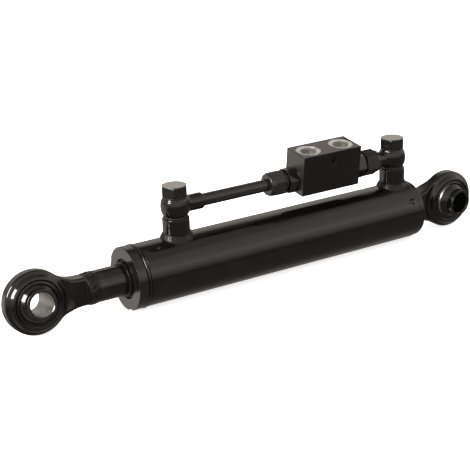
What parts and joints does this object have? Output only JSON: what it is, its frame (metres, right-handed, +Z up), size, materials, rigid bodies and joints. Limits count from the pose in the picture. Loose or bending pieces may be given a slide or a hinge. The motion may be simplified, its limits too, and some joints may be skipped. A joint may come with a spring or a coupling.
{
  "type": "hydraulic cylinder",
  "caption": "Double-acting hydraulic top link cylinder with a swivelling ball eye at each end and a pilot-operated lock valve piped across its oil ports.",
  "frame": {"origin": "centre of the ball in the base-end eye, on the cylinder's axis", "axes": "+X along the cylinder axis from the base eye towards the rod eye, the way the rod extends; +Z up, the side the oil ports and the lock valve stand on; +Y across the eyes, along the base eye's own axis"},
  "size_m": [0.625, 0.0718, 0.1395],
  "materials": {
    "barrel_paint": "gloss black enamel",
    "weld_paint": "gloss black enamel over a ripple bead",
    "eye_paint": "gloss black enamel over a forging",
    "gland_paint": "gloss black enamel over turned steel",
    "fitting_paint": "gloss black enamel",
    "bolt_paint": "satin black enamel",
    "washer_paint": "satin black enamel",
    "pipe_paint": "gloss black enamel",
    "block_paint": "black enamel over milled steel, bare bright spotfaces and threads",
    "rod_finish": "black enamel outside the gland, hard chrome inside",
    "ball_paint": "black enamel over ground steel, bare bore",
    "ball_steel": "black enamel where exposed, bare ground steel round the edge",
    "bright_steel": "turned steel",
    "spring_steel": "spring wire",
    "plug_steel": "dark plug",
    "seal_rubber": "matt",
    "wiper": "satin black",
    "piston_seal": "moulded seal",
    "guide_strip": "phenolic bearing strip"
  },
  "bodies": {
    "barrel": {"barrel_tube": "barrel_paint", "base_cap": "barrel_paint", "cap_weld": "weld_paint", "base_eye": "eye_paint", "base_eye_weld": "weld_paint", "port_boss_base": "barrel_paint", "port_boss_rod": "barrel_paint", "boss_weld_base": "weld_paint", "boss_weld_rod": "weld_paint", "gland_head": "gland_paint", "gland_ring": "gland_paint", "rod_guides": "guide_strip", "rod_seal": "seal_rubber", "wiper_seal": "wiper", "gland_o_ring": "seal_rubber", "gland_backup_ring": "guide_strip", "banjo_bolt_base": "bolt_paint", "banjo_bolt_rod": "bolt_paint", "banjo_base": "fitting_paint", "banjo_rod": "fitting_paint", "banjo_seals": "washer_paint", "transfer_pipe": "pipe_paint", "union_nut_base": "fitting_paint", "union_nut_rod": "fitting_paint", "cutting_rings": "bright_steel", "adapter_base": "fitting_paint", "adapter_rod": "fitting_paint", "stud_seals": "washer_paint", "valve_block": "block_paint", "valve_seat_base": "bright_steel", "valve_seat_rod": "bright_steel", "check_spring_base": "spring_steel", "check_spring_rod": "spring_steel", "gallery_plug": "plug_steel"},
    "piston_rings": {"piston_seal": "piston_seal", "piston_wear_rings": "guide_strip"},
    "piston_rod": {"rod": "rod_finish", "piston": "bright_steel", "piston_nut": "bright_steel", "piston_o_ring": "seal_rubber", "rod_weld": "weld_paint", "rod_eye": "eye_paint"},
    "rod_ball": {"rod_ball": "ball_paint"},
    "base_ball": {"base_ball": "ball_steel"},
    "pilot_piston": {"pilot_piston": "bright_steel", "pilot_o_ring": "seal_rubber"},
    "check_poppet_base": {"check_poppet_base": "bright_steel"},
    "check_poppet_rod": {"check_poppet_rod": "bright_steel"}
  },
  "joints": [
    {"name": "rod_slide", "type": "slide", "parent": "barrel", "child": "piston_rings", "axis": [1, 0, 0], "range_m": [0, 0.24]},
    {"name": "rod_spin", "type": "hinge", "parent": "piston_rings", "child": "piston_rod", "pos_m": [0.3, 0, 0], "axis": [1, 0, 0], "continuous": true},
    {"name": "rod_ball_swivel", "type": "hinge", "parent": "piston_rod", "child": "rod_ball", "pos_m": [0.555, 0, 0], "axis": [1, 0, 0], "range_deg": [-20, 9.5]},
    {"name": "base_ball_swivel", "type": "hinge", "parent": "barrel", "child": "base_ball", "pos_m": [0, 0, 0], "axis": [0, 0, 1], "range_deg": [-22, 8]},
    {"name": "pilot_piston_slide", "type": "slide", "parent": "barrel", "child": "pilot_piston", "axis": [1, 0, 0], "range_m": [-0.002, 0.002]},
    {"name": "check_poppet_base_lift", "type": "slide", "parent": "barrel", "child": "check_poppet_base", "axis": [-1, 0, 0], "range_m": [0, 0.0018], "stiffness_N_per_m": 1500, "springref_m": -0.002, "deforming": ["check_spring_base"]},
    {"name": "check_poppet_rod_lift", "type": "slide", "parent": "barrel", "child": "check_poppet_rod", "axis": [1, 0, 0], "range_m": [0, 0.0018], "stiffness_N_per_m": 1500, "springref_m": -0.002, "deforming": ["check_spring_rod"]}
  ]
}
